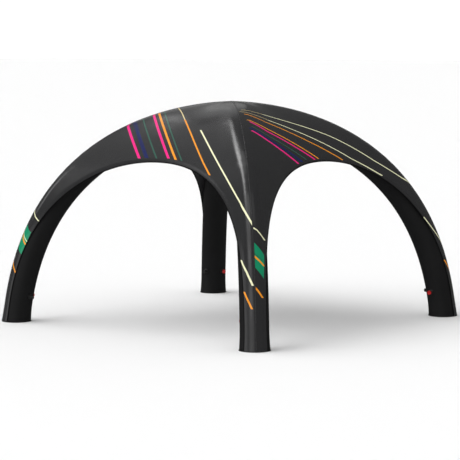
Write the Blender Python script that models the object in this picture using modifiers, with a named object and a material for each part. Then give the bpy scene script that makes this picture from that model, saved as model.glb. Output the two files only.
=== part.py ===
# Inflatable spider tent: four air legs that lean together into one crown, and four fabric faces.
# Metres, +Z up. Faces look along X and Y, legs stand on the diagonals, and feet rest at z = 0.
import math

import bpy
import bmesh
from mathutils import Matrix, Vector

for old in list(bpy.data.objects):
    bpy.data.objects.remove(old, do_unlink=True)

# Air legs: a Bezier centreline in the leg's own upright plane, from the ground to the crown
FOOT_REACH = 3.357
CROWN_HEIGHT = 3.158
FOOT_LEAN = math.radians(5.6)
FOOT_HANDLE = 2.93
CROWN_HANDLE = 0.69
LEG_RADIUS = 0.209
CROWN_RADIUS = 0.236
FOOT_FLARE = 0.013
FLARE_HEIGHT = 0.3

# Fabric faces: each is straight from leg to leg and wraps half round the legs
SKIN_THICKNESS = 0.004
SKIN_CLEARANCE = 0.0005
FACE_SHIFT = 0.0012

# Arch cut out of each face: half a superellipse that reaches below the ground
ARCH_TOP = 2.531
ARCH_FOOT = -1.38
ARCH_HALF_WIDTH = 2.372
ARCH_WIDTH_POWER = 2.07
ARCH_HEIGHT_POWER = 3.88
ARCH_TOP_MARGIN = 0.0001

# Narrow tapes sewn over the ridges and round the arches
TAPE_CLEARANCE = 0.0006
RIDGE_TAPE_WIDTH = 0.016
RIDGE_TAPE_THICKNESS = 0.0012
HEM_TAPE_WIDTH = 0.015
HEM_TAPE_THICKNESS = 0.0015

# Soles, and the heights at which the pieces above them end
SOLE_THICKNESS = 0.005
SOLE_RADIUS = 0.229
LEG_BOTTOM = 0.0054
SKIN_BOTTOM = 0.0062
TAPE_BOTTOM = 0.008
MITRE_GAP = 0.0004

# Valves low on the inner side of each leg, turned from the inward direction
VALVE_HEIGHT = 0.445
VALVE_SEAT_GAP = 0.0003
INFLATION_TURN = math.radians(42)
RELIEF_TURN = math.radians(-40)
FLANGE_RADIUS = 0.042
FLANGE_THICKNESS = 0.004
NECK_RADIUS = 0.021
NECK_HEIGHT = 0.038
CAP_GAP = 0.0003
INFLATION_CAP_RADIUS = 0.028
INFLATION_CAP_HEIGHT = 0.024
RELIEF_CAP_RADIUS = 0.033
RELIEF_CAP_HEIGHT = 0.022
ROUNDING = 0.003

# How finely the curved shapes are divided
VALVE_ROW_STEP = 0.05
FOOT_ROWS = (-0.05, 0.06, 0.14, 0.24, VALVE_HEIGHT - VALVE_ROW_STEP, VALVE_HEIGHT + VALVE_ROW_STEP)
ARCH_ROWS = 12
CROWN_ROWS = 9
LOWEST_ARCH_ANGLE = math.radians(72)
WRAP_STEPS = 4
INNER_STEPS = 18
SOLE_SEGMENTS = 40
VALVE_SEGMENTS = 24

LEG_HEADINGS = {"front_right": -45, "back_right": 45, "back_left": 135, "front_left": 225}
FACE_HEADINGS = {"front": -90, "right": 0, "back": 90, "left": 180}


def make_collection(name):
    collection = bpy.data.collections.new(name)
    bpy.context.scene.collection.children.link(collection)
    return collection


def make_material(name, colour, roughness):
    material = bpy.data.materials.new(name)
    material.use_nodes = True
    surface = material.node_tree.nodes["Principled BSDF"]
    surface.inputs["Base Color"].default_value = (*colour, 1.0)
    surface.inputs["Roughness"].default_value = roughness
    surface.inputs["Metallic"].default_value = 0.0
    material.diffuse_color = (*colour, 1.0)
    return material


# Centreline of a leg: reach, height and unit direction at a station from 0 at the ground to 1
def leg_line(station):
    corners = (
        Vector((FOOT_REACH, 0.0)),
        Vector((FOOT_REACH - FOOT_HANDLE * math.sin(FOOT_LEAN), FOOT_HANDLE * math.cos(FOOT_LEAN))),
        Vector((CROWN_HANDLE, CROWN_HEIGHT)),
        Vector((0.0, CROWN_HEIGHT)),
    )
    rest = 1.0 - station
    shares = (rest**3, 3 * rest**2 * station, 3 * rest * station**2, station**3)
    point = sum((corner * share for corner, share in zip(corners, shares)), Vector((0.0, 0.0)))
    steps = (corners[1] - corners[0], corners[2] - corners[1], corners[3] - corners[2])
    shares = (rest**2, 2 * rest * station, station**2)
    direction = sum((step * share for step, share in zip(steps, shares)), Vector((0.0, 0.0)))
    return point, direction.normalized()


def leg_radius(station, height):
    flare = FOOT_FLARE * max(0.0, 1.0 - height / FLARE_HEIGHT) ** 2
    return LEG_RADIUS + (CROWN_RADIUS - LEG_RADIUS) * max(0.0, station) ** 2 + flare


# Point round a leg, in the leg's frame: +X outward, angle 0 on the ridge, positive towards +Y
def leg_point(station, angle, lift=0.0):
    point, direction = leg_line(station)
    radius = leg_radius(station, point.y) + lift
    outward = Vector((direction.y, 0.0, -direction.x))
    sideways = Vector((0.0, 1.0, 0.0))
    middle = Vector((point.x, 0.0, point.y))
    return middle + radius * (math.cos(angle) * outward + math.sin(angle) * sideways)


# Angle round the leg at which a face leaves it, half a right angle at the ground and 0 on top
def tangent_angle(station):
    return math.atan(leg_line(station)[1].y)


# The same point in the frame of a face: +X outward, the leg on the +Y side of the face
def face_point(station, angle, lift):
    turned = leg_point(station, -angle, lift)
    return Matrix.Rotation(math.radians(45), 3, "Z") @ turned


def face_height(station):
    return face_point(station, tangent_angle(station), 0.0).z


def station_at(height):
    low, high = -0.1, 1.0
    for _ in range(50):
        middle = (low + high) / 2
        if face_height(middle) < height:
            low = middle
        else:
            high = middle
    return low


# Half width of the arch at a height, 0 at its top and above
def arch_half_width(height):
    if height > ARCH_TOP - ARCH_TOP_MARGIN:
        return 0.0
    share = (height - ARCH_FOOT) / (ARCH_TOP - ARCH_FOOT)
    return ARCH_HALF_WIDTH * (1.0 - share**ARCH_HEIGHT_POWER) ** (1 / ARCH_WIDTH_POWER)


# Rows shared by legs, faces and tapes: even along the arch, then even up to the crown
def row_stations():
    stations = [station_at(height) for height in FOOT_ROWS]
    for row in range(ARCH_ROWS + 1):
        turn = LOWEST_ARCH_ANGLE * (1 - row / ARCH_ROWS)
        rise = math.cos(turn) ** (2 / ARCH_HEIGHT_POWER)
        stations.append(station_at(ARCH_FOOT + (ARCH_TOP - ARCH_FOOT) * rise))
    top = stations[-1]
    stations += [top + (1 - top) * row / CROWN_ROWS for row in range(1, CROWN_ROWS + 1)]
    return stations


STATIONS = row_stations()
ARCH_STATIONS = STATIONS[: len(FOOT_ROWS) + ARCH_ROWS + 1]


# Sheet of quads between rows of points, closed round each row where asked
def loft(rows, closed=False):
    shape = bmesh.new()
    grid = [[shape.verts.new(point) for point in row] for row in rows]
    columns = len(grid[0])
    for low, high in zip(grid, grid[1:]):
        for column in range(columns if closed else columns - 1):
            following = (column + 1) % columns
            shape.faces.new((low[column], low[following], high[following], high[column]))
    if closed:
        shape.faces.new(list(reversed(grid[0])))
        shape.faces.new(grid[-1])
    return shape


# Cut off what lies on the normal's side of a plane, and close the cut on a solid
def cut_away(shape, point, normal, close=True):
    everything = shape.verts[:] + shape.edges[:] + shape.faces[:]
    cut = bmesh.ops.bisect_plane(
        shape, geom=everything, plane_co=point, plane_no=normal, clear_outer=True
    )
    if close:
        rim = [part for part in cut["geom_cut"] if isinstance(part, bmesh.types.BMEdge)]
        bmesh.ops.edgeloop_fill(shape, edges=rim)


def finish_mesh(shape, name):
    bmesh.ops.remove_doubles(shape, verts=shape.verts[:], dist=0.00001)
    bmesh.ops.recalc_face_normals(shape, faces=shape.faces[:])
    mesh = bpy.data.meshes.new(name)
    shape.to_mesh(mesh)
    shape.free()
    mesh.shade_smooth()
    mesh.set_sharp_from_angle(angle=math.radians(35))
    return mesh


def make_tube_mesh():
    rows = []
    for station in STATIONS:
        edge = tangent_angle(station)
        outer = [edge * (step / WRAP_STEPS - 1) for step in range(2 * WRAP_STEPS)]
        inner = [edge + 2 * (math.pi - edge) * step / INNER_STEPS for step in range(INNER_STEPS)]
        rows.append([leg_point(station, angle) for angle in outer + inner])
    shape = loft(rows, closed=True)
    cut_away(shape, (0, 0, LEG_BOTTOM), (0, 0, -1))
    cut_away(shape, (MITRE_GAP, 0, 0), (-1, 1, 0))
    cut_away(shape, (MITRE_GAP, 0, 0), (-1, -1, 0))
    return finish_mesh(shape, "leg_tube")


# Half of a face, open at its middle: round the leg from the ridge, then straight to the arch
def make_face_mesh():
    lift = SKIN_CLEARANCE + SKIN_THICKNESS
    rows = []
    for station in STATIONS:
        edge = tangent_angle(station)
        row = [face_point(station, edge * step / WRAP_STEPS, lift) for step in range(WRAP_STEPS + 1)]
        last = row[-1].copy()
        last.y = min(last.y, arch_half_width(face_height(station)))
        rows.append(row + [last])
    shape = loft(rows)
    cut_away(shape, (0, 0, SKIN_BOTTOM), (0, 0, -1), close=False)
    return finish_mesh(shape, "face")


# Half of the tape round an arch, laid on the face just inside the cut edge
def make_hem_mesh():
    lift = SKIN_CLEARANCE + SKIN_THICKNESS + TAPE_CLEARANCE
    edge_points = []
    normals = []
    for station in ARCH_STATIONS:
        point = face_point(station, tangent_angle(station), lift)
        normals.append((point - face_point(station, tangent_angle(station), 0.0)).normalized())
        point.y = arch_half_width(face_height(station))
        edge_points.append(point)
    rows = []
    for index, point in enumerate(edge_points):
        ahead = edge_points[min(index + 1, len(edge_points) - 1)]
        behind = edge_points[max(index - 1, 0)]
        along = ahead - behind
        if index == len(edge_points) - 1:
            along = Vector((0.0, -1.0, 0.0))
        side = normals[index].cross(along).normalized()
        rows.append([point, point - side * HEM_TAPE_WIDTH])
    shape = loft(rows)
    cut_away(shape, (0, 0, TAPE_BOTTOM), (0, 0, -1), close=False)
    return finish_mesh(shape, "arch_hem")


# Tape along a ridge, over the line where two faces meet
def make_ridge_mesh():
    lift = SKIN_CLEARANCE + SKIN_THICKNESS + FACE_SHIFT + TAPE_CLEARANCE
    rows = []
    for station in STATIONS:
        middle = leg_point(station, 0.0, lift)
        half = Vector((0.0, RIDGE_TAPE_WIDTH / 2, 0.0))
        rows.append([middle - half, middle + half])
    shape = loft(rows)
    cut_away(shape, (0, 0, TAPE_BOTTOM), (0, 0, -1), close=False)
    cut_away(shape, (RIDGE_TAPE_WIDTH, 0, 0), (-1, 0, 0), close=False)
    return finish_mesh(shape, "ridge_seam")


def make_sole_mesh():
    shape = bmesh.new()
    middle = Matrix.Translation((FOOT_REACH, 0, SOLE_THICKNESS / 2))
    bmesh.ops.create_cone(
        shape, cap_ends=True, segments=SOLE_SEGMENTS, radius1=SOLE_RADIUS, radius2=SOLE_RADIUS,
        depth=SOLE_THICKNESS, matrix=middle,
    )
    return finish_mesh(shape, "foot_sole")


# Outline of a turned piece, from its top middle, down its side, to its bottom middle
def outline_mesh(name, outline):
    mesh = bpy.data.meshes.new(name)
    points = [(across, 0.0, up) for across, up in outline]
    edges = [(index, index + 1) for index in range(len(points) - 1)]
    mesh.from_pydata(points, edges, [])
    return mesh


def make_flange_mesh():
    return outline_mesh("valve_flange", (
        (0.0, NECK_HEIGHT),
        (NECK_RADIUS, NECK_HEIGHT),
        (NECK_RADIUS, FLANGE_THICKNESS),
        (FLANGE_RADIUS, FLANGE_THICKNESS),
        (FLANGE_RADIUS, 0.0),
        (0.0, 0.0),
    ))


def make_cap_mesh(name, radius, height):
    bottom = NECK_HEIGHT + CAP_GAP
    top = bottom + height
    return outline_mesh(name, (
        (0.0, top),
        (radius - ROUNDING, top),
        (radius, top - ROUNDING),
        (radius, bottom),
        (0.0, bottom),
    ))


def add_screw(piece):
    screw = piece.modifiers.new("turn", "SCREW")
    screw.steps = VALVE_SEGMENTS
    screw.render_steps = VALVE_SEGMENTS
    screw.use_merge_vertices = True
    screw.merge_threshold = 0.00001


def add_solidify(piece, thickness, side):
    shell = piece.modifiers.new("thickness", "SOLIDIFY")
    shell.thickness = thickness
    shell.offset = side
    shell.use_even_offset = True
    shell.use_quality_normals = True


def add_mirror(piece):
    mirror = piece.modifiers.new("other half", "MIRROR")
    mirror.use_axis = (False, True, False)
    mirror.merge_threshold = 0.0001


def add_piece(name, mesh, material, guide):
    piece = bpy.data.objects.new(name, mesh)
    if not mesh.materials:
        mesh.materials.append(material)
    tent.objects.link(piece)
    piece.parent = guide
    return piece


def add_guide(name, heading):
    guide = bpy.data.objects.new(name, None)
    guide.rotation_euler = (0, 0, math.radians(heading))
    guides.objects.link(guide)
    return guide


# Seat of a valve on a leg: its +Z looks out of the tube, turned from the inward direction
def valve_seat(turn):
    station = station_at(VALVE_HEIGHT)
    angle = math.pi - turn
    seat = leg_point(station, angle, VALVE_SEAT_GAP)
    middle = leg_point(station, angle, -leg_radius(station, VALVE_HEIGHT))
    outward = (seat - middle).normalized()
    return Matrix.Translation(seat) @ outward.to_track_quat("Z", "Y").to_matrix().to_4x4()


def add_valve(name, heading_name, guide, turn, flange, cap, materials):
    for part, mesh, material in zip(("flange", "cap"), (flange, cap), materials):
        piece = add_piece(f"{name}_{part}_{heading_name}", mesh, material, guide)
        piece.matrix_local = valve_seat(turn)
        add_screw(piece)


tent = make_collection("inflatable_spider_tent")
guides = make_collection("guides")

black_tube = make_material("tube_fabric_charcoal", (0.012, 0.012, 0.013), 0.55)
black_skin = make_material("skin_fabric_black", (0.03, 0.03, 0.032), 0.6)
sole_black = make_material("sole_fabric_black", (0.01, 0.01, 0.01), 0.7)
valve_black = make_material("valve_plastic_black", (0.01, 0.01, 0.01), 0.4)
valve_red = make_material("valve_plastic_red", (0.5, 0.008, 0.01), 0.35)

tube_mesh = make_tube_mesh()
face_mesh = make_face_mesh()
hem_mesh = make_hem_mesh()
ridge_mesh = make_ridge_mesh()
sole_mesh = make_sole_mesh()
flange_mesh = make_flange_mesh()
inflation_cap_mesh = make_cap_mesh("inflation_cap", INFLATION_CAP_RADIUS, INFLATION_CAP_HEIGHT)
relief_cap_mesh = make_cap_mesh("relief_cap", RELIEF_CAP_RADIUS, RELIEF_CAP_HEIGHT)

for leg_name, heading in LEG_HEADINGS.items():
    leg_guide = add_guide(f"leg_guide_{leg_name}", heading)
    add_piece(f"leg_tube_{leg_name}", tube_mesh, black_tube, leg_guide)
    add_piece(f"foot_sole_{leg_name}", sole_mesh, sole_black, leg_guide)
    seam = add_piece(f"ridge_seam_{leg_name}", ridge_mesh, black_skin, leg_guide)
    add_solidify(seam, RIDGE_TAPE_THICKNESS, 1.0)
    add_valve(
        "inflation_valve", leg_name, leg_guide, INFLATION_TURN, flange_mesh, inflation_cap_mesh,
        (valve_black, valve_black),
    )
    add_valve(
        "relief_valve", leg_name, leg_guide, RELIEF_TURN, flange_mesh, relief_cap_mesh,
        (valve_black, valve_red),
    )

for face_name, heading in FACE_HEADINGS.items():
    face_guide = add_guide(f"face_guide_{face_name}", heading)
    face = add_piece(f"canopy_{face_name}", face_mesh, black_skin, face_guide)
    face.location = (FACE_SHIFT, 0, 0)
    add_mirror(face)
    add_solidify(face, SKIN_THICKNESS, -1.0)
    hem = add_piece(f"arch_hem_{face_name}", hem_mesh, black_skin, face_guide)
    hem.location = (FACE_SHIFT, 0, 0)
    add_mirror(hem)
    add_solidify(hem, HEM_TAPE_THICKNESS, 1.0)
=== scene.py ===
# Inflatable spider tent: fine cloth, air legs, seams and valves built round the CAD frame.
# Metres, +Z up. Faces look along X and Y, and the legs stand on the diagonals between them.
import math
from bisect import bisect_left
import bmesh
import bpy
from mathutils import Matrix, Vector, noise


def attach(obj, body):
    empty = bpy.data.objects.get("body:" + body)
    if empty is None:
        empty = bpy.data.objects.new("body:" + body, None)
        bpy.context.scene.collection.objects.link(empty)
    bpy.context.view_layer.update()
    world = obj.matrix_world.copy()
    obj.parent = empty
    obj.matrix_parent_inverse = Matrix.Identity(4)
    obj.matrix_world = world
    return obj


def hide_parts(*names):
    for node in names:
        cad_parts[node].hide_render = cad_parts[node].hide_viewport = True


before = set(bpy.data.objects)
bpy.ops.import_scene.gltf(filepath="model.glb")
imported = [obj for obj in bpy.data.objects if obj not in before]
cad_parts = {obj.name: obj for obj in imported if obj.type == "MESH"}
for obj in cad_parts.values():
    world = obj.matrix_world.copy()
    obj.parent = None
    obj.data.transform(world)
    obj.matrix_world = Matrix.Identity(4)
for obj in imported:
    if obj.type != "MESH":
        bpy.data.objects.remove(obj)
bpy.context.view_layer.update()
print("frame loaded:", len(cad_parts), "nodes")


# a node, with values, other nodes or their outputs in its sockets
def addNode(tree, kind, links=None, **settings):
    node = tree.nodes.new(kind)
    for name, value in settings.items():
        setattr(node, name, value)
    for socket, source in (links or {}).items():
        if isinstance(source, bpy.types.Node):
            source = source.outputs[0]
        if isinstance(source, bpy.types.NodeSocket):
            tree.links.new(source, node.inputs[socket])
        else:
            node.inputs[socket].default_value = source
    return node


def newObject(name, data):
    made = bpy.data.objects.new(name, data)
    bpy.context.scene.collection.objects.link(made)
    return made


def newMaterial(name, colour, roughness, specular):
    material = bpy.data.materials.new(name)
    material.use_nodes = True
    surface = material.node_tree.nodes["Principled BSDF"]
    surface.inputs["Base Color"].default_value = (*colour, 1)
    surface.inputs["Roughness"].default_value = roughness
    surface.inputs["Specular IOR Level"].default_value = specular
    return material, material.node_tree, surface


cameraView = {"place": (19.837, -24.058, 4.263), "tilt": 84.73, "heading": 39.56,
              "lens": 156.8, "filmWidth": 36, "farthest": 2000}
studio = {
    "fill": 0.75, "fillGloss": 0.12,  # white dome all round, and how much of it shines on cloth
    "backdrop": 1.1,  # the dome as the camera sees it
    "floorColour": (0.86, 0.86, 0.86), "floorSize": 900, "floorRoughness": 0.9, "floorGloss": 0.1,
    # heading from +X and height in degrees, degrees across, strength
    "softLights": (("side", -112, 40, 44, 0.92), ("back", -165, 57, 44, 0.92)),
    # a curved strip light that only puts a shine on the cloth: the same four numbers
    "shinePath": ((133, 20, 16, 0.02), (138, 31, 16, 0.02), (147, 46, 8, 0.03),
                  (156, 54, 9, 0.065), (168, 60, 11, 0.1), (-179, 63, 11, 0.105),
                  (-167, 64, 11, 0.11), (-154, 65, 11, 0.115), (-140, 66, 11, 0.11),
                  (-125, 65, 11, 0.1), (-112, 61, 12, 0.09), (-102, 53, 14, 0.06),
                  (-10, 62, 20, 0.04), (-75, 63, 22, 0.14), (-175, 77, 20, 0.09),
                  (-80, 44, 28, 0.2), (-76, 26, 30, 0.17), (-70, 8, 36, 0.2),
                  (-100, 5, 36, 0.09), (-130, 3, 36, 0.22), (-160, 30, 16, 0.1),
                  (-178, 46, 44, 0.1)),
}


def makeCamera(values):
    data = bpy.data.cameras.new("camera")
    data.sensor_width = values["filmWidth"]
    data.lens = values["lens"]
    data.clip_end = values["farthest"]
    camera = newObject("camera", data)
    camera.location = values["place"]
    camera.rotation_euler = (math.radians(values["tilt"]), 0, math.radians(values["heading"]))
    bpy.context.scene.camera = camera


# a wide sun that gives either matt light or only a shine
def makeSun(name, heading, height, across, strength, matt, shine):
    sun = bpy.data.lights.new(name, "SUN")
    sun.energy = strength
    sun.angle = math.radians(across)
    lamp = newObject(name, sun)
    heading, height = math.radians(heading), math.radians(height)
    towards = Vector((math.cos(heading) * math.cos(height), math.sin(heading) * math.cos(height),
                      math.sin(height)))
    lamp.rotation_euler = towards.to_track_quat("Z", "Y").to_euler()
    lamp.visible_diffuse, lamp.visible_glossy = matt, shine


def makeStudio(values):
    world = bpy.data.worlds.new("studio")
    world.use_nodes = True
    tree = world.node_tree
    tree.nodes.clear()
    rays = addNode(tree, "ShaderNodeLightPath").outputs
    last = None
    # the dome, then how it shines, then how the camera sees it
    for ray, strength in ((None, values["fill"]), ("Is Glossy Ray", values["fillGloss"]),
                          ("Is Camera Ray", values["backdrop"])):
        dome = addNode(tree, "ShaderNodeBackground", {"Color": (1, 1, 1, 1), "Strength": strength})
        if last:
            dome = addNode(tree, "ShaderNodeMixShader",
                           {0: rays[ray], 1: last, 2: dome})
        last = dome
    addNode(tree, "ShaderNodeOutputWorld", {"Surface": last})
    bpy.context.scene.world = world
    bpy.context.scene.view_settings.view_transform = "Standard"
    for soft in values["softLights"]:
        makeSun(*soft, matt=True, shine=False)
    for index, shine in enumerate(values["shinePath"]):
        makeSun(f"shine_{index}", *shine, matt=False, shine=True)

    half = values["floorSize"] / 2
    mesh = bpy.data.meshes.new("floor")
    mesh.from_pydata([(-half, -half, 0), (half, -half, 0), (half, half, 0), (-half, half, 0)],
                     [], [(0, 1, 2, 3)])
    mesh.materials.append(newMaterial("floor_paint", values["floorColour"],
                                      values["floorRoughness"], values["floorGloss"])[0])
    floor = newObject("floor", mesh)
    floor.visible_glossy = False  # the legs' dark edges carry no shine from it


makeCamera(cameraView)
makeStudio(studio)
print("camera, light and floor made")

# sizes shared with the CAD solids; a leg's centreline is one Bezier curve, out and up
legShape = {
    "footReach": 3.357, "crownHeight": 3.158, "footLean": math.radians(5.6),
    "footHandle": 2.93, "crownHandle": 0.69, "legRadius": 0.209, "crownRadius": 0.236,
    "footFlare": 0.013, "flareHeight": 0.3, "bottom": 0.0054, "mitreGap": 0.0004,
}
faceShape = {
    "lift": 0.0045, "shift": 0.0012, "thickness": 0.0028, "bottom": 0.0066,
    "archTop": 2.531, "archFoot": -1.38, "archHalfWidth": 2.372,
    "widthPower": 2.07, "heightPower": 3.88,
}
legHeadings = {"front_right": -45, "back_right": 45, "back_left": 135, "front_left": 225}
faceHeadings = {"front": -90, "right": 0, "back": 90, "left": 180}
# each face has a leg on its left (-across) and one on its right, seen from outside
legsOfFace = {
    "front": ("front_left", "front_right"), "right": ("front_right", "back_right"),
    "back": ("back_right", "back_left"), "left": ("back_left", "front_left"),
}


def legCorners():
    s = legShape
    lean = s["footLean"]
    return (
        Vector((s["footReach"], 0.0)),
        Vector((s["footReach"] - s["footHandle"] * math.sin(lean),
                s["footHandle"] * math.cos(lean))),
        Vector((s["crownHandle"], s["crownHeight"])),
        Vector((0.0, s["crownHeight"])),
    )


corners = legCorners()


# reach and height of the centreline, and its direction, at a station from 0 to 1
def legLine(station):
    rest = 1 - station
    shares = (rest**3, 3 * rest**2 * station, 3 * rest * station**2, station**3)
    point = sum((c * share for c, share in zip(corners, shares)), Vector((0, 0)))
    steps = (corners[1] - corners[0], corners[2] - corners[1], corners[3] - corners[2])
    shares = (rest**2, 2 * rest * station, station**2)
    along = sum((step * share for step, share in zip(steps, shares)), Vector((0, 0)))
    return point, along.normalized()


def legRadius(station, height):
    s = legShape
    flare = s["footFlare"] * max(0, 1 - height / s["flareHeight"]) ** 2
    return s["legRadius"] + (s["crownRadius"] - s["legRadius"]) * max(0, station) ** 2 + flare


# point and outward direction round a leg, in its own frame: +X outward, angle 0 on the ridge
def legPoint(station, angle, lift):
    point, along = legLine(station)
    outward = Vector((along.y, 0, -along.x)) * math.cos(angle) + Vector((0, math.sin(angle), 0))
    middle = Vector((point.x, 0, point.y))
    return middle + (legRadius(station, point.y) + lift) * outward, outward


def radiusAt(station):
    return legRadius(station, legLine(station)[0].y)


def skinRadius(station):
    return radiusAt(station) + faceShape["lift"]


# the same point in the frame of a face, with the leg on its +Y side
def facePoint(station, angle, lift):
    turn = Matrix.Rotation(math.radians(45), 3, "Z")
    point, outward = legPoint(station, -angle, lift)
    return turn @ point, turn @ outward


# where the straight part of the cloth meets a leg, as an angle from the ridge and as a point
def tangentAngle(station):
    return math.atan(legLine(station)[1].y)


def tangentPoint(station, lift=faceShape["lift"]):
    return facePoint(station, tangentAngle(station), lift)


# the cloth laid flat: across from the middle of a face, up along it from the ground;
# each row of the table holds the way up, the height over the ground and the station
tableSteps = 900
lowestStation = -0.02


def makeClothTable():
    rows, up, last = [], 0.0, None
    for step in range(tableSteps + 1):
        station = lowestStation + (1 - lowestStation) * step / tableSteps
        point = tangentPoint(station)[0]
        if last is not None:
            up += math.hypot(point.x - last.x, point.z - last.z)
        rows.append((up, point.z, station))
        last = point
    ground = next(row[0] - row[1] for row in rows if row[1] >= 0)
    return [(up - ground, height, station) for up, height, station in rows]


clothTable = makeClothTable()


def lookUp(value, key, result):
    low = bisect_left(clothTable, value, key=lambda row: row[key]) - 1
    low = min(len(clothTable) - 2, max(0, low))
    a, b = clothTable[low], clothTable[low + 1]
    share = (value - a[key]) / max(b[key] - a[key], 1e-9)
    return a[result] + (b[result] - a[result]) * share


def upAtHeight(height):
    return lookUp(height, 1, 0)


topUp = clothTable[-1][0]


# half the width of the flat cloth at a way up it, out to the ridge
def ridgeAcross(up):
    station = lookUp(up, 0, 2)
    return tangentPoint(station)[0].y + skinRadius(station) * tangentAngle(station)


# where a spot of the flat cloth sits on the smooth tent, its outward side, and its room
# inwards before it touches the air leg
def clothPoint(across, up):
    station = lookUp(up, 0, 2)
    point, outward = tangentPoint(station)
    beyond = abs(across) - point.y
    radius = skinRadius(station)
    if beyond <= 0:
        return Vector((point.x, across, point.z)), outward, beyond**2 / (2 * radius)
    angle = tangentAngle(station) - beyond / radius
    point, outward = facePoint(station, angle, faceShape["lift"])
    if across < 0:
        point.y, outward.y = -point.y, -outward.y
    return point, outward, 0.0


cloth = {
    # small creases near the ridges; the grain is how fast they change up and away from one
    "creaseHeight": 0.0032, "creaseReach": 0.2, "creaseFrom": 1.75, "creaseTo": 3.25,
    "creaseGrain": (11, 3, 2.5), "creaseSeed": 7.3, "creaseLeast": 0.01,
    # a faint slackness over the open part of a face
    "slackness": 0.0022, "slackInset": 0.15, "slackReach": 0.5, "slackFrom": 2, "slackFade": 0.8,
    "slackGrain": (1.4, 1.1), "slackSeed": 31.7,
    # the rounding of the ridges near the crown, in metres and as a share of the half width
    "crownRounding": 0.2, "roundingShare": 0.55, "roundFrom": 2.1, "roundFull": 3.3,
    # the hem curls in as far as the air leg lets it, and puckers a little
    "hemWidth": 0.07, "hemCurl": 0.016, "curlPower": 1.3, "roomShare": 0.8, "roomSpare": 0.001,
    "puckerHeight": 0.0006, "puckerGrain": 26, "puckerSeed": 3.1,
    "footTuck": 0.0022, "footTuckHeight": 0.02,
}


def ramp(value, start, length):
    return min(1, max(0, (value - start) / length))


def creases(across, up, leg):
    fromRidge = ridgeAcross(up) - abs(across)
    window = math.exp(-(fromRidge / cloth["creaseReach"]) ** 2)
    share = (up - cloth["creaseFrom"]) / (cloth["creaseTo"] - cloth["creaseFrom"])
    if window < cloth["creaseLeast"] or not 0 < share < 1:
        return 0.0
    window *= math.sin(math.pi * share)
    upwards, askew, away = cloth["creaseGrain"]
    seed = cloth["creaseSeed"] * list(legHeadings).index(leg)
    place = Vector((up * upwards + fromRidge * askew, fromRidge * away, seed))
    return cloth["creaseHeight"] * window * noise.noise(place)


def slack(across, up, face):
    fromRidge = ridgeAcross(up) - abs(across)
    window = ramp(fromRidge, cloth["slackInset"], cloth["slackReach"])
    window *= ramp(up, cloth["slackFrom"], cloth["slackFade"])
    sideways, upwards = cloth["slackGrain"]
    seed = cloth["slackSeed"] * list(faceHeadings).index(face)
    place = Vector((across * sideways, up * upwards, seed))
    return cloth["slackness"] * window * noise.noise(place)


# near the crown the cloth rounds a ridge more gently than the air leg does, a little off it
def crownRise(across, up):
    blend = ramp(up, cloth["roundFrom"], cloth["roundFull"] - cloth["roundFrom"])
    station = lookUp(up, 0, 2)
    half, edge = ridgeAcross(up), tangentAngle(station)
    radius = skinRadius(station)
    wrap, reach = radius * edge, min(cloth["crownRounding"], cloth["roundingShare"] * half)
    if blend == 0 or reach <= wrap:
        return 0.0
    fromRidge = half - abs(across)
    if fromRidge < wrap:
        rise = fromRidge**2 / 2 * (1 / radius - edge / reach)
    elif fromRidge < reach:
        rise = edge * (fromRidge - wrap / 2 - fromRidge**2 / (2 * reach))
    else:
        share = (fromRidge - reach) / (half - reach)
        rise = edge * (reach - wrap) / 2 * (1 + math.cos(math.pi * share)) / 2
    return rise * blend**2 * (3 - 2 * blend)


def footTuck(height):
    return cloth["footTuck"] * max(0, 1 - height / cloth["footTuckHeight"]) ** 2


# finished outer side of the skin, in the frame of its face, lifted by height above it
def skinPoint(across, up, face, fromHem, height=0.0):
    point, outward, room = clothPoint(across, up)
    leg = legsOfFace[face][0 if across < 0 else 1]
    rise = creases(across, up, leg) + slack(across, up, face) + crownRise(across, up)
    share = max(0, 1 - max(0, fromHem) / cloth["hemWidth"])
    if share > 0:
        curl = cloth["hemCurl"] * share ** cloth["curlPower"]
        room = cloth["roomShare"] * room + cloth["roomSpare"]
        rise -= curl * room / (curl + room)
        place = Vector((across * cloth["puckerGrain"], up * cloth["puckerGrain"],
                        cloth["puckerSeed"]))
        rise += cloth["puckerHeight"] * share * noise.noise(place)
    point += outward * (rise - footTuck(point.z) + height)
    point.x += faceShape["shift"]
    return point


# the arch's cut edge on the flat cloth, evenly spaced from just under the ground to its top
archSamples = 1200
archOverrun = 1.004  # it runs on into the ground, and is cut off level later


def archEdge(count):
    s = faceShape
    rise = -s["archFoot"] / (s["archTop"] - s["archFoot"])
    lowest = archOverrun * math.acos(rise ** (s["heightPower"] / 2))
    samples = []
    for step in range(archSamples + 1):
        turn = lowest * (1 - step / archSamples)
        rise = math.cos(turn) ** (2 / s["heightPower"])
        height = s["archFoot"] + (s["archTop"] - s["archFoot"]) * rise
        samples.append(Vector((s["archHalfWidth"] * math.sin(turn) ** (2 / s["widthPower"]),
                               upAtHeight(height))))
    return evenly(samples, count)


def lengths(points):
    total = [0.0]
    for a, b in zip(points, points[1:]):
        total.append(total[-1] + (b - a).length)
    return total


# count + 1 points evenly along a line of points, or at the given distances along it
def evenly(points, count=None, places=None):
    total = lengths(points)
    if places is None:
        places = [total[-1] * step / count for step in range(count + 1)]
    found, index = [], 0
    for place in places:
        while index < len(points) - 2 and total[index + 1] < place:
            index += 1
        share = (place - total[index]) / max(total[index + 1] - total[index], 1e-9)
        found.append(points[index].lerp(points[index + 1], min(1, max(0, share))))
    return found


archCount = 150
edgeSpacing = lengths(archEdge(archCount))[-1] / archCount


# direction into the cloth at each point of the arch's edge
def edgeInward(points, index):
    if index == len(points) - 1:
        return Vector((0, 1))
    along = (points[min(index + 1, len(points) - 1)] - points[max(index - 1, 0)]).normalized()
    return Vector((along.y, -along.x))


weldDistance = 0.00002


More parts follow.
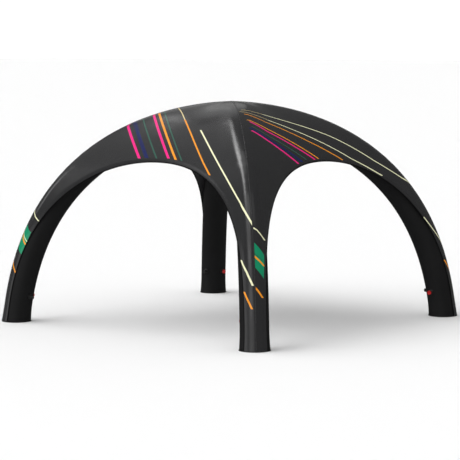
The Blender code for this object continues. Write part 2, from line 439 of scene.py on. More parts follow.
def turnAbout(heading):
    return Matrix.Rotation(math.radians(heading), 4, "Z")


def linkPiece(name, mesh, heading=0.0):
    mesh.transform(turnAbout(heading))
    return newObject(name, mesh)


# every piece rides on the tent's one body, and most of them replace a CAD solid
def enterPiece(piece, replaced=None, material=None):
    if material:
        piece.data.materials.append(material)
    if replaced:
        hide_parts(replaced)
    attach(piece, "root")


# quads between closed rings of points
def addTube(shape, rings, flip=False):
    grid = [[shape.verts.new(point) for point in ring] for ring in rings]
    for low, high in zip(grid, grid[1:]):
        for c in range(len(low)):
            following = (c + 1) % len(low)
            quad = (low[c], low[following], high[following], high[c])
            shape.faces.new(quad[::-1] if flip else quad)


def weld(shape):
    bmesh.ops.remove_doubles(shape, verts=shape.verts[:], dist=weldDistance)


def cutAway(shape, point, normal, close=True):
    everything = shape.verts[:] + shape.edges[:] + shape.faces[:]
    cut = bmesh.ops.bisect_plane(shape, geom=everything, plane_co=point, plane_no=normal,
                                 clear_outer=True)
    if close:
        rim = [part for part in cut["geom_cut"] if isinstance(part, bmesh.types.BMEdge)]
        bmesh.ops.edgeloop_fill(shape, edges=rim)


def fillHoles(shape):
    loose = [edge for edge in shape.edges if edge.is_boundary]
    bmesh.ops.holes_fill(shape, edges=loose, sides=0)


def smooth(mesh, angle):
    mesh.shade_smooth()
    mesh.set_sharp_from_angle(angle=math.radians(angle))
    return mesh


def finishShape(shape, name, angle=35):
    weld(shape)
    bmesh.ops.recalc_face_normals(shape, faces=shape.faces[:])
    mesh = bpy.data.meshes.new(name)
    shape.to_mesh(mesh)
    shape.free()
    return smooth(mesh, angle)


# keep what the modifiers make as a plain mesh
def settle(piece, angle=35):
    seen = piece.evaluated_get(bpy.context.evaluated_depsgraph_get())
    mesh = bpy.data.meshes.new_from_object(seen)
    piece.modifiers.clear()
    piece.data = smooth(mesh, angle)


# a node group with one output, and its inputs named under their kinds
def newGroup(name, kind, output, outputKind, **inputs):
    tree = bpy.data.node_groups.new(name, kind)
    tree.interface.new_socket(output, in_out="OUTPUT", socket_type="NodeSocket" + outputKind)
    for inputKind, labels in inputs.items():
        for label in labels:
            tree.interface.new_socket(label, in_out="INPUT", socket_type="NodeSocket" + inputKind)
    return tree, addNode(tree, "NodeGroupInput").outputs


def newTree(name, **inputs):
    return newGroup(name, "GeometryNodeTree", "Geometry", "Geometry", Geometry=("Geometry",),
                    **inputs, Material=("material",))


def endTree(tree, geometry, material):
    real = addNode(tree, "GeometryNodeRealizeInstances", {"Geometry": geometry})
    even = addNode(tree, "GeometryNodeSetShadeSmooth", {"Geometry": real})
    paint = addNode(tree, "GeometryNodeSetMaterial",
                    {"Geometry": even, "Material": material})
    addNode(tree, "NodeGroupOutput", {"Geometry": paint})
    return tree


# run a tree on an object, and keep its result
def runTree(piece, tree, values, angle=35):
    modifier = piece.modifiers.new("nodes", "NODES")
    modifier.node_group = tree
    for item in tree.interface.items_tree:
        if item.in_out == "INPUT" and item.name in values:
            modifier[item.identifier] = values[item.name]
    settle(piece, angle)


print("tools ready, cloth is", round(topUp, 3), "m from ground to crown")

colours = {
    # lining: lighter than the matt black cloth, as painted light for the light that shows on the
    # inner skin
    "skin": (0.023, 0.023, 0.024), "liningPaintedLight": (0.055, 0.055, 0.057), "tube": (0.009, 0.009, 0.0095),
    # binding: partly its own colour and partly painted shade, near-black and matt for the shadowed
    # crease between hem and air leg
    "thread": (0.02, 0.02, 0.021), "binding": (0.003, 0.003, 0.003), "sole": (0.012, 0.012, 0.012),
    "plasticBlack": (0.012, 0.012, 0.012), "plasticRed": (0.5, 0.006, 0.008),
    "pink": (0.95, 0.006, 0.24), "navy": (0.005, 0.01, 0.09), "pine": (0.025, 0.1, 0.07),
    "orange": (0.95, 0.33, 0.012), "cream": (0.93, 0.93, 0.6), "straw": (0.8, 0.66, 0.33),
    "green": (0.004, 0.26, 0.12),
}


def mathNode(tree, operation, a, b=0.0, clamp=False):
    node = addNode(tree, "ShaderNodeMath", {0: a, 1: b}, operation=operation, use_clamp=clamp)
    return node.outputs[0]


def mixColour(tree, factor, a, b, blend="MIX"):
    node = addNode(tree, "ShaderNodeMix", data_type="RGBA", blend_type=blend)
    for index, source in ((0, factor), (6, a), (7, b)):
        if isinstance(source, bpy.types.NodeSocket):
            tree.links.new(source, node.inputs[index])
        else:
            node.inputs[index].default_value = source if index == 0 else (*source, 1)
    return node.outputs[2]


# a noise given as its scale and detail
def noiseNode(tree, place, look):
    scale, detail = look
    node = addNode(tree, "ShaderNodeTexNoise", {"Vector": place, "Scale": scale, "Detail": detail})
    return node.outputs["Fac"]


def spread(tree, factor, low, high):
    node = addNode(tree, "ShaderNodeMapRange", {"Value": factor, "To Min": low, "To Max": high})
    return node.outputs[0]


bandLength = 0.314  # of one band, where a wave texture's scale is 1


# two crossing sets of threads
def threadBands(tree, place, pitch, ways):
    return [addNode(tree, "ShaderNodeTexWave",
                    {"Vector": place, "Scale": bandLength / pitch, "Distortion": 0.0},
                    wave_type="BANDS", bands_direction=way).outputs["Fac"] for way in ways]


# shade and gloss that change a little from place to place
def unevenLook(tree, surface, colour, roughness, look):
    solid = addNode(tree, "ShaderNodeTexCoord").outputs["Object"]
    clouds = noiseNode(tree, solid, look["clouds"])
    darker, lighter = ([c * (1 + change) for c in colour]
                       for change in (-look["unevenness"], look["unevenness"]))
    base = mixColour(tree, clouds, darker, lighter)
    tree.links.new(base, surface.inputs["Base Color"])
    tree.links.new(spread(tree, clouds, *roughness), surface.inputs["Roughness"])
    return solid, clouds, base


def bump(tree, surface, height, distance, strength, before=None):
    links = {"Height": height, "Distance": distance, "Strength": strength}
    if before:
        links["Normal"] = before
    normal = addNode(tree, "ShaderNodeBump", links).outputs[0]
    tree.links.new(normal, surface.inputs["Normal"])
    return normal


printSharpness = 1200.0  # a printed edge fades out over 1 / 1200 m


# one printed mark: where two bands cross, each a turn and a half width about the same middle
def makeMarkGroup():
    tree, given = newGroup("printedMark", "ShaderNodeTree", "mask", "Float",
                           Vector=("cloth", "middle"),
                           Float=("turn", "halfWidth", "endTurn", "halfLength"))
    placed = addNode(tree, "ShaderNodeVectorMath", {0: given["cloth"], 1: given["middle"]},
                     operation="SUBTRACT")
    masks = []
    for turn, half in (("turn", "halfWidth"), ("endTurn", "halfLength")):
        back = mathNode(tree, "MULTIPLY", given[turn], -1.0)
        turned = addNode(tree, "ShaderNodeVectorRotate", {"Vector": placed, "Angle": back},
                         rotation_type="Z_AXIS")
        off = addNode(tree, "ShaderNodeSeparateXYZ", {0: turned}).outputs["Y"]
        inside = mathNode(tree, "SUBTRACT", given[half], mathNode(tree, "ABSOLUTE", off))
        masks.append(mathNode(tree, "MULTIPLY", inside, printSharpness, clamp=True))
    addNode(tree, "NodeGroupOutput", {"mask": mathNode(tree, "MULTIPLY", *masks)})
    return tree


markGroup = makeMarkGroup()

# stripes as (colour, width, points along its middle), and patches as (colour, four corners)
frontPrint = {
    "stripes": [
        ("pink", 0.04, (-1.13, 3.49), (-0.39, 2.76)),
        ("navy", 0.058, (-1.05, 3.58), (-0.25, 2.775)),
        ("pine", 0.024, (-0.95, 3.67), (-0.055, 2.777)),
        ("pink", 0.038, (-0.87, 3.84), (0.18, 2.785)),
        ("orange", 0.034, (-0.8, 3.89), (0.333, 2.767)),
        ("pine", 0.022, (-0.7, 3.91), (0.461, 2.75)),
        ("straw", 0.016, (-0.6, 4.115), (-0.311, 3.877), (-0.105, 3.683)),
        ("orange", 0.024, (-0.105, 3.683), (0.287, 3.313), (0.884, 2.738), (1.12, 2.523)),
        ("cream", 0.023, (0.42, 3.4), (0.825, 3.042), (1.452, 2.489), (1.87, 2.11), (2.2, 1.74)),
        ("cream", 0.026, (2.129, 1.28), (2.262, 1.108), (2.393, 0.91)),
        ("orange", 0.026, (2.27, 0.837), (2.38, 0.669), (2.428, 0.59)),
        ("cream", 0.018, (-2.2, 1.772), (-1.974, 1.609)),
        ("orange", 0.026, (-2.4, 0.934), (-2.265, 0.773)),
    ],
    "patches": [("green", (-2.328, 1.584), (-2.078, 1.421), (-2.191, 1.064), (-2.441, 1.227))],
    "overPatch": [
        ("cream", 0.013, (-2.34, 1.445), (-2.124, 1.272)),
        ("orange", 0.026, (-2.36, 1.43), (-2.141, 1.222)),
    ],
}
rightPrint = {
    "stripes": [
        ("pink", 0.034, (-1.054, 3.4), (-0.908, 3.15), (-0.58, 2.692)),
        ("navy", 0.05, (-1.018, 3.47), (-0.868, 3.195), (-0.467, 2.72)),
        ("pine", 0.02, (-0.95, 3.5), (-0.825, 3.296), (-0.334, 2.759)),
        ("pink", 0.03, (-0.86, 3.632), (-0.72, 3.36), (-0.127, 2.748)),
        ("orange", 0.024, (-0.845, 3.698), (-0.647, 3.412), (-0.029, 2.758)),
        ("orange", 0.022, (-0.69, 3.89), (-0.506, 3.613), (0.046, 3.107), (0.528, 2.701)),
        ("straw", 0.012, (-0.66, 4.0), (-0.372, 3.668)),
        ("cream", 0.02, (-0.372, 3.668), (0.288, 3.102), (0.754, 2.71), (1.3, 2.37)),
        ("straw", 0.012, (-0.57, 4.06), (-0.289, 3.851)),
        ("cream", 0.02, (-0.289, 3.851), (0.634, 3.19), (1.276, 2.652), (2.02, 2.13)),
        ("cream", 0.018, (1.971, 1.625), (2.128, 1.405), (2.316, 1.15)),
        ("orange", 0.026, (2.26, 0.91), (2.444, 0.665)),
        ("cream", 0.022, (-2.24, 1.755), (-2.149, 1.69), (-2.055, 1.555)),
        ("orange", 0.028, (-2.47, 0.94), (-2.4, 0.845), (-2.345, 0.745)),
    ],
    "patches": [("green", (-2.36, 1.665), (-2.152, 1.348), (-2.262, 1.012), (-2.47, 1.33))],
    "overPatch": [
        ("pine", 0.012, (-2.36, 1.4), (-2.195, 1.245)),
        ("orange", 0.028, (-2.4, 1.4), (-2.206, 1.19)),
    ],
}


def stripeMarks(stripe):
    colour, width, points = stripe[0], stripe[1], stripe[2:]
    for start, end in zip(points, points[1:]):
        yield colour, {
            "middle": ((start[0] + end[0]) / 2, (start[1] + end[1]) / 2, 0),
            "turn": math.atan2(end[1] - start[1], end[0] - start[0]), "halfWidth": width / 2,
            "endTurn": 0.0, "halfLength": abs(start[1] - end[1]) / 2}


def patchMark(patch):
    a, b, c, d = (Vector(corner) for corner in patch[1:])
    top, side = b - a, d - a
    apart = abs(top.x * side.y - top.y * side.x)
    return patch[0], {
        "middle": (*(a + b + c + d) / 4, 0),
        "turn": math.atan2(top.y, top.x), "halfWidth": apart / top.length / 2,
        "endTurn": math.atan2(side.y, side.x), "halfLength": apart / side.length / 2}


def marksOf(printed):
    marks = [mark for stripe in printed["stripes"] for mark in stripeMarks(stripe)]
    marks += [patchMark(patch) for patch in printed["patches"]]
    return marks + [mark for stripe in printed["overPatch"] for mark in stripeMarks(stripe)]


# a noise is its scale and detail, and a bump is its height in metres and its strength
skinLook = {
    "clouds": (2.6, 4.0), "unevenness": 0.12, "grain": (420.0, 2.0), "grainDark": 0.86,
    "folds": (5.0, 3.0), "foldBump": (0.003, 0.3),
    "threadPitch": 0.0016, "threadRelief": 0.3, "threadBump": (0.00006, 0.5),
    "sheenRoughness": 0.4,
}
coatedLook = {"clouds": (3.5, 5.0), "unevenness": 0.2, "foldBump": (0.004, 0.3),
              "threadBump": (0.0002, 0.4)}
plasticLook = {"clouds": (40.0, 3.0), "unevenness": 0.1, "grain": (700.0, 2.0),
               "grainBump": (0.0002, 0.5), "shine": 0.5}


# tent cloth: fine weave, faint shade changes, and a dyed print where one is given
def clothMaterial(name, colour, roughness, shine, sheen=0.0, printed=None):
    look = skinLook
    material, tree, surface = newMaterial(name, colour, roughness[0], shine)
    surface.inputs["Sheen Weight"].default_value = sheen
    surface.inputs["Sheen Roughness"].default_value = look["sheenRoughness"]
    solid, _, base = unevenLook(tree, surface, colour, roughness, look)
    flat = addNode(tree, "ShaderNodeUVMap", uv_map="cloth")
    for shade, mark in marksOf(printed) if printed else []:
        node = addNode(tree, "ShaderNodeGroup", {"cloth": flat, **mark}, node_tree=markGroup)
        base = mixColour(tree, node.outputs[0], base, colours[shade])
    grain = spread(tree, noiseNode(tree, flat, look["grain"]), look["grainDark"], 1.0)
    base = mixColour(tree, 1.0, base, grain, "MULTIPLY")
    tree.links.new(base, surface.inputs["Base Color"])
    over, under = threadBands(tree, flat, look["threadPitch"], ("X", "Y"))
    threads = mathNode(tree, "ADD", mathNode(tree, "MULTIPLY", over, under),
                       mathNode(tree, "MULTIPLY", over, look["threadRelief"]))
    soft = bump(tree, surface, noiseNode(tree, solid, look["folds"]), *look["foldBump"])
    bump(tree, surface, threads, *look["threadBump"], soft)
    return material


# coated fabric on pieces without a flat map: the weave is on the solid's own coordinates
def coatedMaterial(name, colour, roughness, shine, pitch):
    material, tree, surface = newMaterial(name, colour, roughness[0], shine)
    solid, clouds, _ = unevenLook(tree, surface, colour, roughness, coatedLook)
    threads = mathNode(tree, "MULTIPLY", *threadBands(tree, solid, pitch, ("DIAGONAL", "Z")))
    soft = bump(tree, surface, clouds, *coatedLook["foldBump"])
    bump(tree, surface, threads, *coatedLook["threadBump"], soft)
    return material


# moulded plastic: fine spark-eroded grain and slightly uneven gloss
def plasticMaterial(name, colour, roughness):
    material, tree, surface = newMaterial(name, colour, roughness[0], plasticLook["shine"])
    solid = unevenLook(tree, surface, colour, roughness, plasticLook)[0]
    bump(tree, surface, noiseNode(tree, solid, plasticLook["grain"]), *plasticLook["grainBump"])
    return material


# after the colour: roughness from and to, then shine, then the sheen or the thread pitch
skinFront = clothMaterial("printed_skin_front_back", colours["skin"], (0.16, 0.2), 0.5,
                          printed=frontPrint)
skinRight = clothMaterial("printed_skin_right_left", colours["skin"], (0.16, 0.2), 0.5,
                          printed=rightPrint)
# the inside's lighter grey is painted light, for the light that shows on the inner skin
liningPaintedLight = clothMaterial("skin_inside_painted_light", colours["liningPaintedLight"], (0.6, 0.7), 0.2, 0.02)
seamTape = coatedMaterial("ridge_tape", colours["skin"], (0.24, 0.3), 0.45, 0.0011)
# the binding's matt near-black is partly its own colour and partly painted shade: the shadowed
# crease between hem and air leg
binding = coatedMaterial("hem_binding_painted_crease_shade", colours["binding"], (0.8, 0.9), 0.1, 0.0011)
tubeFabric = coatedMaterial("air_leg_fabric", colours["tube"], (0.5, 0.62), 0.2, 0.0016)
thread = coatedMaterial("stitch_thread", colours["thread"], (0.45, 0.55), 0.3, 0.0006)
soleFabric = coatedMaterial("sole_fabric", colours["sole"], (0.7, 0.8), 0.15, 0.003)
plasticBlack = plasticMaterial("valve_black_plastic", colours["plasticBlack"], (0.2625, 0.4375))
plasticRed = plasticMaterial("valve_red_plastic", colours["plasticRed"], (0.24, 0.4))
print("materials made")


legCornerNames = ("Start", "Start Handle", "End Handle", "End")


# an air leg is a sweep along its own curve
def makeLegTree():
    tree, g = newTree("airLeg", Vector=legCornerNames, Int=("rings", "sides"), Float=(
        "legRadius", "crownRadius", "footFlare", "flareHeight", "firstStation"))
    path = addNode(tree, "GeometryNodeCurvePrimitiveBezierSegment", {
        "Resolution": g["rings"], **{name: g[name] for name in legCornerNames}}, mode="POSITION")
    rings = addNode(tree, "GeometryNodeResampleCurve", {"Curve": path},
                    mode="EVALUATED")
    index = addNode(tree, "GeometryNodeInputIndex")
    station = spread(tree, mathNode(tree, "DIVIDE", index, g["rings"]), g["firstStation"], 1.0)
    squared = mathNode(tree, "POWER", mathNode(tree, "MAXIMUM", station, 0.0), 2.0)
    grow = mathNode(tree, "SUBTRACT", g["crownRadius"], g["legRadius"])
    place = addNode(tree, "GeometryNodeInputPosition")
    height = addNode(tree, "ShaderNodeSeparateXYZ", {0: place}).outputs["Z"]
    low = mathNode(tree, "SUBTRACT", 1.0, mathNode(tree, "DIVIDE", height, g["flareHeight"]))
    low = mathNode(tree, "POWER", mathNode(tree, "MAXIMUM", low, 0.0), 2.0)
    flare = mathNode(tree, "MULTIPLY", low, g["footFlare"])
    radius = mathNode(tree, "ADD", g["legRadius"], flare)
    radius = mathNode(tree, "ADD", radius, mathNode(tree, "MULTIPLY", squared, grow))
    circle = addNode(tree, "GeometryNodeCurvePrimitiveCircle",
                     {"Resolution": g["sides"], "Radius": 1.0})
    tube = addNode(tree, "GeometryNodeCurveToMesh", {
        "Curve": rings, "Profile Curve": circle, "Scale": radius,
        "Fill Caps": True})
    return endTree(tree, tube, g["material"])


airLeg = {"rings": 130, "sides": 96, "firstStation": -0.02, "footRounding": 0.01}


# the same Bezier curve, begun a little below the ground
def stretchedCorners(start):
    points = [Vector(corner) for corner in corners]
    found = []
    while points:
        found.append(points[-1])
        points = [a.lerp(b, start) for a, b in zip(points, points[1:])]
    return list(reversed(found))


def makeAirLegs(values, material):
    tree, bottom = makeLegTree(), legShape["bottom"]
    inputs = {**legShape, **values, "material": material}
    for name, corner in zip(legCornerNames, stretchedCorners(values["firstStation"])):
        inputs[name] = (corner.x, 0, corner.y)
    legs = {}
    for name, heading in legHeadings.items():
        piece = linkPiece(f"air_leg_{name}", bpy.data.meshes.new("air_leg"))
        runTree(piece, tree, inputs)
        shape = bmesh.new()
        shape.from_mesh(piece.data)
        # the mitres at the crown, then the ground
        for side in (1, -1):
            cutAway(shape, (legShape["mitreGap"], 0, 0), (-1, side, 0))
        cutAway(shape, (0, 0, bottom), (0, 0, -1))
        rim = [edge for edge in shape.edges
               if all(abs(vert.co.z - bottom) < weldDistance / 2 for vert in edge.verts)]
        bmesh.ops.bevel(shape, geom=rim, offset=values["footRounding"], segments=4, profile=0.5,
                        affect="EDGES")
        piece.data = finishShape(shape, "air_leg")
        piece.data.transform(turnAbout(heading))
        enterPiece(piece, f"leg_tube_{name}", material)
        legs[name] = piece
    return legs


airLegs = makeAirLegs(airLeg, tubeFabric)
print("air legs made")

# the skin: three sewn panels on each face, cut at a seam across each leg
skin = {
    "seamUp": 1.78, "ridgeStart": 1.3, "ridgeAtCrest": 3.1, "columns": 30, "crowding": 1.75,
    "crownRows": 66, "footPlaces": (0.0, 0.012, 0.02, 0.028, 0.038, 0.05),
    "hemPlaces": (0.0, 0.004, 0.012, 0.023, 0.037, 0.053, 0.07), "edgeDetail": 2400,
    "foldAngle": 40,
}


# rows across half a face, as places on the flat cloth, from the hem to the ridge
def skinRows():
    places = list(skin["footPlaces"]) + [edgeSpacing * step for step in range(2, archCount + 1)]
    spots = evenly(archEdge(skin["edgeDetail"]), places=places)
    inwards = [edgeInward(spots, index) for index in range(len(spots))]
    inwards[0] = Vector((1, 0))
    inner = [spot + way * cloth["hemWidth"] for spot, way in zip(spots, inwards)]
    crest = inner[-1].y
    inner += [Vector((0, crest + (topUp - crest) * step / skin["crownRows"]))
              for step in range(1, skin["crownRows"] + 1)]
    along = lengths(inner)
    crestAlong = along[len(spots) - 1]
    rows = []
    for index, start in enumerate(inner):
        if along[index] < skin["ridgeStart"]:
            up = start.y
        elif along[index] < crestAlong:
            share = (along[index] - skin["ridgeStart"]) / (crestAlong - skin["ridgeStart"])
            first = next(p.y for p, a in zip(inner, along) if a >= skin["ridgeStart"])
            up = first + (skin["ridgeAtCrest"] - first) * share
        else:
            share = (along[index] - crestAlong) / (along[-1] - crestAlong)
            up = skin["ridgeAtCrest"] + (topUp - skin["ridgeAtCrest"]) * share
        ridge = Vector((ridgeAcross(up), up))
        row = []
        if index < len(spots):
            row = [(spots[index] + inwards[index] * w, w) for w in skin["hemPlaces"]]
        for column in range(1 if row else 0, skin["columns"] + 1):
            share = 1 - (1 - column / skin["columns"]) ** skin["crowding"]
            row.append((start.lerp(ridge, share), 1.0))
        rows.append(row)
    return rows


# the part of one face between two rows, on one side or both, as a mesh with its flat map
def panelMesh(name, rows, face, sides):
    shape = bmesh.new()
    layer = shape.loops.layers.uv.new("cloth")
    area = 0.0
    for side in sides:
        grid = []
        for row in rows:
            made = []
            for spot, fromHem in row:
                vert = shape.verts.new(skinPoint(side * spot.x, spot.y, face, fromHem))
                made.append((vert, (side * spot.x, spot.y)))
            grid.append(made)
        for low, high in zip(grid, grid[1:]):
            # a row above the arch has no hem columns, so the last hem row meets it at the middle
            low = low[len(low) - len(high):]
            for column in range(len(high) - 1):
                ring = [low[column], low[column + 1], high[column + 1], high[column]]
                if side < 0:
                    ring.reverse()
                made = shape.faces.new([vert for vert, _ in ring])
                for loop, (_, uv) in zip(made.loops, ring):
                    loop[layer].uv = uv
                corner = [uv for _, uv in ring]
                area += abs(sum(a[0] * b[1] - b[0] * a[1]
                                for a, b in zip(corner, corner[1:] + corner[:1]))) / 2
    weld(shape)
    cutAway(shape, (0, 0, faceShape["bottom"]), (0, 0, -1), close=False)
    return finishShape(shape, name), area


def makeSkins(rows):
    seamRow = next(i for i, row in enumerate(rows) if row[0][0].y >= skin["seamUp"])
    parts = (("crown", rows[seamRow:], (-1, 1)), ("leg_left", rows[:seamRow + 1], (-1,)),
             ("leg_right", rows[:seamRow + 1], (1,)))
    for face, heading in faceHeadings.items():
        for part, span, sides in parts:
            name = f"canopy_skin_{face}_{part}"
            mesh, area = panelMesh(name, span, face, sides)
            piece = linkPiece(name, mesh, heading)
            piece.data.materials.append(skinFront if face in ("front", "back") else skinRight)
            piece.data.materials.append(liningPaintedLight)
            shell = piece.modifiers.new("thickness", "SOLIDIFY")
            shell.thickness = faceShape["thickness"]
            shell.offset = -1
            shell.material_offset = 1
            shell.material_offset_rim = 0
            settle(piece, skin["foldAngle"])
            enterPiece(piece, f"canopy_{face}")
        print("skin of the", face, "face made")


makeSkins(skinRows())


# short threads along any line of edges
def makeStitchTree():
    tree, g = newTree("stitches", Float=("pitch", "thread", "length"))
    line = addNode(tree, "GeometryNodeMeshToCurve", {"Mesh": g["Geometry"]})
    points = addNode(tree, "GeometryNodeCurveToPoints",
                     {"Curve": line, "Length": g["pitch"]}, mode="LENGTH")
    bead = addNode(tree, "GeometryNodeMeshIcoSphere", {"Radius": 0.5, "Subdivisions": 1})
    size = addNode(tree, "ShaderNodeCombineXYZ", {0: g["thread"], 1: g["thread"], 2: g["length"]})
    each = addNode(tree, "GeometryNodeInstanceOnPoints", {
        "Points": points.outputs["Points"], "Instance": bead,
        "Rotation": points.outputs["Rotation"], "Scale": size})
    return endTree(tree, each, g["material"])


stitching = {"pitch": 0.0095, "thread": 0.0013, "length": 0.0072, "material": thread}
stitchTree = makeStitchTree()


def makeStitches(name, lines, heading):
    mesh = bpy.data.meshes.new(name)
    points, edges = [], []
    for line in lines:
        edges += [(len(points) + i, len(points) + i + 1) for i in range(len(line) - 1)]
        points += line
    mesh.from_pydata(points, edges, [])
    piece = linkPiece(name, mesh, heading)
    runTree(piece, stitchTree, stitching, angle=80)
    enterPiece(piece)


hem = {
    # across from the cut edge, and out from the cloth; a folded strip seen end on
    "profile": ((0.015, 0.0003), (0.0152, 0.0008), (0.0148, 0.0013), (0.008, 0.0015),
                (0.001, 0.0014), (-0.0016, 0.0006), (-0.0024, -0.0014), (-0.0016, -0.0034),
                (0.001, -0.0042), (0.008, -0.0043), (0.0148, -0.0041), (0.0152, -0.0036),
                (0.015, -0.0031), (0.006, -0.0031), (0.0004, -0.003), (-0.0006, -0.0014),
                (0.0004, 0.0002), (0.006, 0.0003)),
    "bottom": 0.008, "lastCloth": 0.004, "edgePoints": 900, "ringStep": 3, "stitchStep": 2,
    # across and out again: a line through the hem's folded strip, and one where its pocket ends
    "stitchLines": ((0.0105, 0.0015), (0.05, 0.0001)), "stitchBottom": 0.012,
    "foldAngle": 50,  # in degrees; a sharper fold than this is drawn as an edge
}


def hemSpots():
    edge = archEdge(hem["edgePoints"])
    ways = [edgeInward(edge, index) for index in range(len(edge))]
    ways[0] = ways[1]
    return list(zip(edge, ways))


# past the cut edge the hem carries on the way that the last of the cloth goes
def hemPoint(spot, way, across, height, face, side):
    def onCloth(inwards):
        at = spot + way * inwards
        return skinPoint(side * at.x, at.y, face, inwards, height)

    point = onCloth(max(0, across))
    if across < 0:
        point += (point - onCloth(hem["lastCloth"])).normalized() * -across
    return point


# a line of stitches from one foot of the arch to the other
def archLine(spots, face, across, height):
    left, right = ([hemPoint(spot, way, across, height, face, side) for spot, way in spots]
                   for side in (-1, 1))
    return [point for point in left + right[-2::-1] if point.z > hem["stitchBottom"]]


def makeHems(spots):
    for face, heading in faceHeadings.items():
        shape = bmesh.new()
        for side in (-1, 1):
            rings = [[hemPoint(spot, way, across, height, face, side)
                      for across, height in hem["profile"]]
                     for spot, way in spots[::hem["ringStep"]]]
            addTube(shape, rings, flip=side < 0)
        weld(shape)
        cutAway(shape, (0, 0, hem["bottom"]), (0, 0, -1), close=False)
        fillHoles(shape)
        mesh = finishShape(shape, "arch_binding", hem["foldAngle"])
        piece = linkPiece(f"arch_binding_{face}", mesh, heading)
        enterPiece(piece, f"arch_hem_{face}", binding)
        makeStitches(f"arch_stitches_{face}",
                     [archLine(spots[::hem["stitchStep"]], face, *place)
                      for place in hem["stitchLines"]], heading)


makeHems(hemSpots())
print("hems and their stitches made")

# a narrow tape over the line where two faces meet
ridge = {
    "halfWidth": 0.008, "thickness": 0.0012, "lift": 0.0063, "rows": 260, "bottom": 0.008,
    "firstStation": -0.01, "crownGap": 0.0002,
    # shares of the half width and of the thickness
    "section": ((-1, 0), (-1, 0.6), (-0.85, 1), (0, 1.15), (0.85, 1), (1, 0.6), (1, 0),
                (0, -0.25)),
    "stitchPlace": 0.0052, "stitchLift": 1.1, "stitchFrom": 0.004, "stitchSpan": 0.99,
    "stitchSteps": 700, "foldAngle": 50,
}


# a spot on the ridge of a leg, in the leg's own frame, with the same creases as the skin
def ridgePoint(leg, station, sideways, height):
    point, outward = legPoint(station, 0.0, ridge["lift"] + height)
    up = upAtHeight(tangentPoint(station)[0].z)
    point += outward * creases(ridgeAcross(up), up, leg)
    point += outward * (-footTuck(point.z) - sideways**2 / (2 * radiusAt(station)))
    point.y = sideways
    return point


def makeRidges():
    thick, first, count = ridge["thickness"], ridge["firstStation"], ridge["stitchSteps"]
    section = [(across * ridge["halfWidth"], up * thick) for across, up in ridge["section"]]
    stations = [first + (1 - first) * step / ridge["rows"] for step in range(ridge["rows"] + 1)]
    stitched = [ridge["stitchFrom"] + ridge["stitchSpan"] * step / count
                for step in range(count + 1)]
    for leg, heading in legHeadings.items():
        shape = bmesh.new()
        addTube(shape, [[ridgePoint(leg, station, y, up) for y, up in section]
                        for station in stations])
        cutAway(shape, (0, 0, ridge["bottom"]), (0, 0, -1), close=False)
        for side in (-1, 1):
            cutAway(shape, (ridge["crownGap"], 0, 0), (-1, side, 0), close=False)
        fillHoles(shape)
        mesh = finishShape(shape, "ridge_tape", ridge["foldAngle"])
        piece = linkPiece(f"ridge_tape_{leg}", mesh, heading)
        enterPiece(piece, f"ridge_seam_{leg}", seamTape)
        lines = [[ridgePoint(leg, station, side * ridge["stitchPlace"],
                             thick * ridge["stitchLift"]) for station in stitched]
                 for side in (-1, 1)]
        makeStitches(f"ridge_stitches_{leg}", lines, heading)


makeRidges()
print("ridge seams made")

# valves: a welded collar, a body with a flange, and a ribbed cap, two on each leg
valve = {
    "height": 0.445, "seatGap": 0.0003, "turns": {"inflation": 42, "relief": -40}, "segments": 64,
    "collarRadius": 0.062, "collarHole": 0.02, "collarThickness": 0.0014, "collarDepth": 0.0006,
    "collarRings": 5,
    # distance from the axis and height, and which of these corners hug the leg
    "body": ((0.0, 0.038), (0.0195, 0.038), (0.021, 0.0368), (0.021, 0.009), (0.0225, 0.0068),
             (0.037, 0.0052), (0.0405, 0.0046), (0.042, 0.003), (0.042, 0.0), (0.0, 0.0)),
    "bodyHugs": (6, 7, 8), "capSeat": 0.0383,
    "capRadius": {"inflation": 0.028, "relief": 0.033},
    "capHeight": {"inflation": 0.024, "relief": 0.022},
    "ribs": {"inflation": 26, "relief": 18}, "ribWidth": 0.0014, "ribShort": 0.007,
    "ribDrop": 0.0003, "rimInset": 0.0016,
}


def stationAtHeight(height):
    low, high = lowestStation, 1.0
    for _ in range(50):
        middle = (low + high) / 2
        if tangentPoint(middle, 0.0)[0].z < height:
            low = middle
        else:
            high = middle
    return low


def valveSeat(turn):
    station = stationAtHeight(valve["height"])
    seat, outward = legPoint(station, math.pi - math.radians(turn), valve["seatGap"])
    along = legLine(station)[1]
    up = Vector((along.x, 0, along.y))
    side = up.cross(outward).normalized()
    basis = Matrix((side, up, outward)).transposed().to_4x4()
    return Matrix.Translation(seat) @ basis, radiusAt(station)


# a turned shape from its outline; its hugged corners fall away with the round leg under them
def turnedMesh(name, outline, radius=None, hugged=(), closed=False):
    rings = []
    for index, (across, up) in enumerate(outline):
        ring = []
        for step in range(valve["segments"]):
            turn = 2 * math.pi * step / valve["segments"]
            x, y = across * math.cos(turn), across * math.sin(turn)
            drop = radius - math.sqrt(radius**2 - x**2) if index in hugged else 0.0
            ring.append((x, y, up - drop))
        rings.append(ring)
    shape = bmesh.new()
    addTube(shape, rings + rings[:1] if closed else rings)
    return finishShape(shape, name)


def makeRibTree():
    tree, g = newTree("capRibs", Int=("count",), Float=("radius", "height", "start", "width"))
    ring = addNode(tree, "GeometryNodeMeshCircle", {"Vertices": g["count"], "Radius": g["radius"]})
    lift = addNode(tree, "ShaderNodeCombineXYZ", {2: g["start"]})
    lifted = addNode(tree, "GeometryNodeTransform",
                     {"Geometry": ring, "Translation": lift})
    rib = addNode(tree, "GeometryNodeMeshCylinder", {
        "Vertices": 8, "Side Segments": 1, "Radius": g["width"], "Depth": g["height"]})
    each = addNode(tree, "GeometryNodeInstanceOnPoints",
                   {"Points": lifted, "Instance": rib.outputs["Mesh"]})
    both = addNode(tree, "GeometryNodeJoinGeometry")
    tree.links.new(g["Geometry"], both.inputs[0])
    tree.links.new(each.outputs[0], both.inputs[0])
    return endTree(tree, both, g["material"])


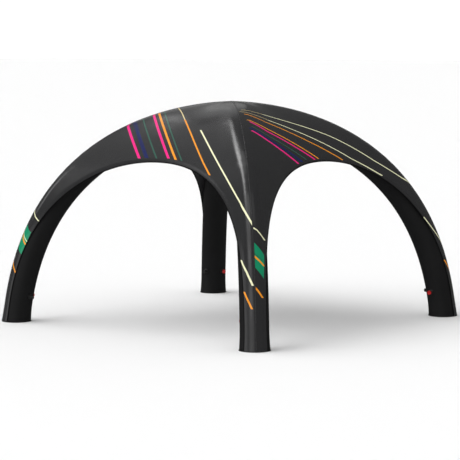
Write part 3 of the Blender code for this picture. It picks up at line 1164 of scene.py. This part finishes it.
# a thin ring that follows the leg
def collarOutline():
    outer, thick, hole = valve["collarRadius"], valve["collarThickness"], valve["collarHole"]
    count = valve["collarRings"]
    steps = [hole + (outer - hole) * step / count for step in range(count)]
    return ([(across, thick) for across in steps] + [(outer - 0.0008, thick * 0.9), (outer, 0.0)]
            + [(across, -valve["collarDepth"]) for across in reversed(steps)])


# a shallow dish in the top, and a lip round the foot
def capOutline(radius, rim, height):
    outline = (
        (0.0, height - 0.003), (radius * 0.45, height - 0.003), (radius * 0.55, height - 0.0008),
        (rim - 0.004, height), (rim - 0.0012, height - 0.0008), (rim, height - 0.003),
        (rim, 0.0035), (rim + 0.0014, 0.0028), (rim + 0.0014, 0.0004), (rim, 0.0), (0.0, 0.0))
    return [(across, valve["capSeat"] + up) for across, up in outline]


def makeValve(kind, leg, place, radius, ribTree):
    outline = collarOutline()
    collar = linkPiece(f"{kind}_valve_collar_{leg}", turnedMesh(
        "valve_collar", outline, radius, range(len(outline)), closed=True))
    body = linkPiece(f"{kind}_valve_body_{leg}", turnedMesh(
        "valve_body", valve["body"], radius, valve["bodyHugs"]))
    capRadius, capHeight = valve["capRadius"][kind], valve["capHeight"][kind]
    rim = capRadius - valve["rimInset"]
    cap = linkPiece(f"{kind}_valve_cover_{leg}",
                    turnedMesh("valve_cover", capOutline(capRadius, rim, capHeight)))
    runTree(cap, ribTree, {
        "count": valve["ribs"][kind], "radius": rim, "height": capHeight - valve["ribShort"],
        "start": valve["capSeat"] + capHeight / 2 - valve["ribDrop"], "width": valve["ribWidth"],
        "material": plasticRed if kind == "relief" else plasticBlack})
    for piece in (collar, body, cap):
        piece.data.transform(place)
    enterPiece(collar, material=tubeFabric)
    enterPiece(body, f"{kind}_valve_flange_{leg}", plasticBlack)
    enterPiece(cap,
               f"{kind}_valve_cap_{leg}")


def makeValves():
    ribTree = makeRibTree()
    for leg, heading in legHeadings.items():
        for kind, turn in valve["turns"].items():
            seat, radius = valveSeat(turn)
            makeValve(kind, leg, turnAbout(heading) @ seat, radius, ribTree)


makeValves()
print("valves made")

# soles keep their CAD solid and get their own fabric
for name in legHeadings:
    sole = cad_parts[f"foot_sole_{name}"]
    sole.data.materials.clear()
    sole.data.materials.append(soleFabric)
